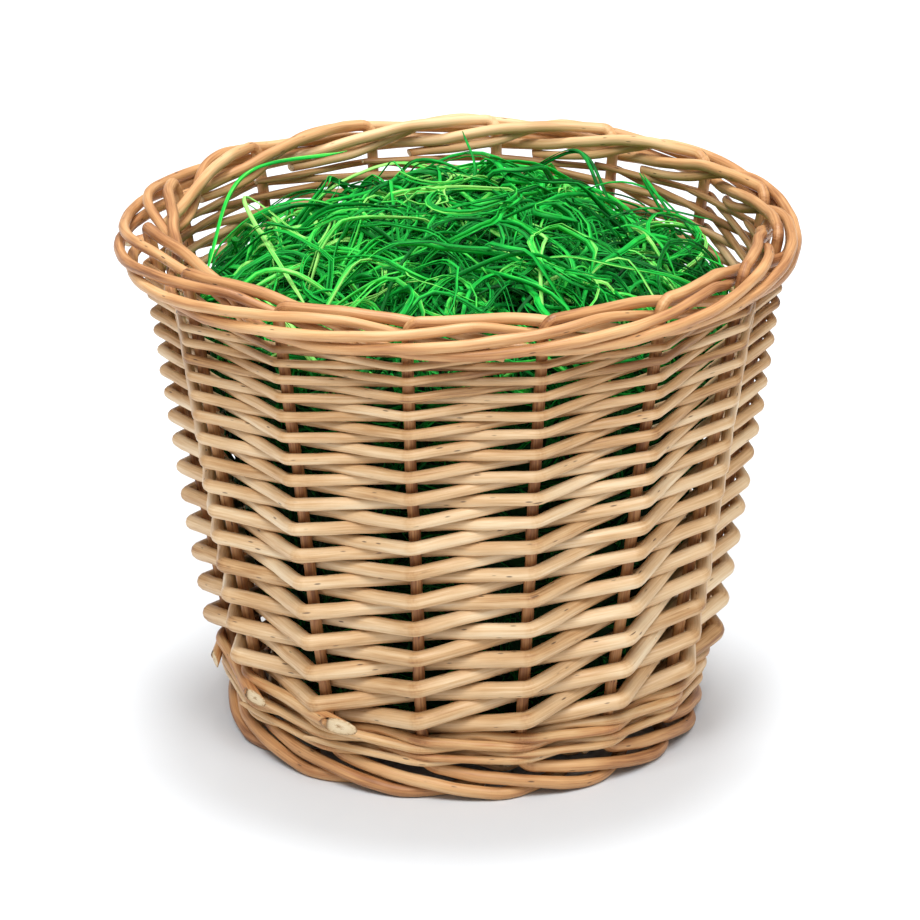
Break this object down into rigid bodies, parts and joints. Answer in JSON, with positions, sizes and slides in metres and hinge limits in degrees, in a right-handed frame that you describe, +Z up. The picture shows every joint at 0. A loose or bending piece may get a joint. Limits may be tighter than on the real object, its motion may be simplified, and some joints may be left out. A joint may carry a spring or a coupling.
{
  "type": "easter basket",
  "caption": "Round splayed willow basket woven in slanting rows on upright stakes, with a plaited rim and foot, filled with green wood wool.",
  "frame": {"origin": "on the floor, on the basket's axis, in the middle of the foot", "axes": "+Z up along the basket's axis, -Y the front"},
  "size_m": [0.275, 0.2746, 0.219],
  "materials": {
    "stake_willow": "satin",
    "weaver_willow": "satin",
    "wale_willow": "satin",
    "base_willow": "satin",
    "wood_wool": "satin"
  },
  "bodies": {
    "basket": {"stake_01": "stake_willow", "stake_02": "stake_willow", "stake_03": "stake_willow", "stake_04": "stake_willow", "stake_05": "stake_willow", "stake_06": "stake_willow", "stake_07": "stake_willow", "stake_08": "stake_willow", "stake_09": "stake_willow", "stake_10": "stake_willow", "stake_11": "stake_willow", "stake_12": "stake_willow", "stake_13": "stake_willow", "stake_14": "stake_willow", "stake_15": "stake_willow", "weaver_01": "weaver_willow", "weaver_02": "weaver_willow", "weaver_03": "weaver_willow", "weaver_04": "weaver_willow", "weaver_05": "weaver_willow", "weaver_06": "weaver_willow", "weaver_07": "weaver_willow", "weaver_08": "weaver_willow", "weaver_09": "weaver_willow", "weaver_10": "weaver_willow", "weaver_11": "weaver_willow", "weaver_12": "weaver_willow", "weaver_13": "weaver_willow", "weaver_14": "weaver_willow", "weaver_15": "weaver_willow", "wale_rod_1": "wale_willow", "wale_rod_2": "wale_willow", "wale_rod_3": "wale_willow", "base_stick_1": "base_willow", "base_stick_2": "base_willow", "base_stick_3": "base_willow", "base_stick_4": "base_willow", "base_stick_5": "base_willow", "base_stick_6": "base_willow", "base_stick_7": "base_willow", "base_stick_8": "base_willow", "base_weaver_1": "base_willow", "base_weaver_2": "base_willow"},
    "filling": {"grass_filling": "wood_wool"}
  },
  "joints": [
    {"name": "filling_lift", "type": "slide", "parent": "basket", "child": "filling", "axis": [0, 0, 1], "range_m": [0, 0.22]}
  ]
}
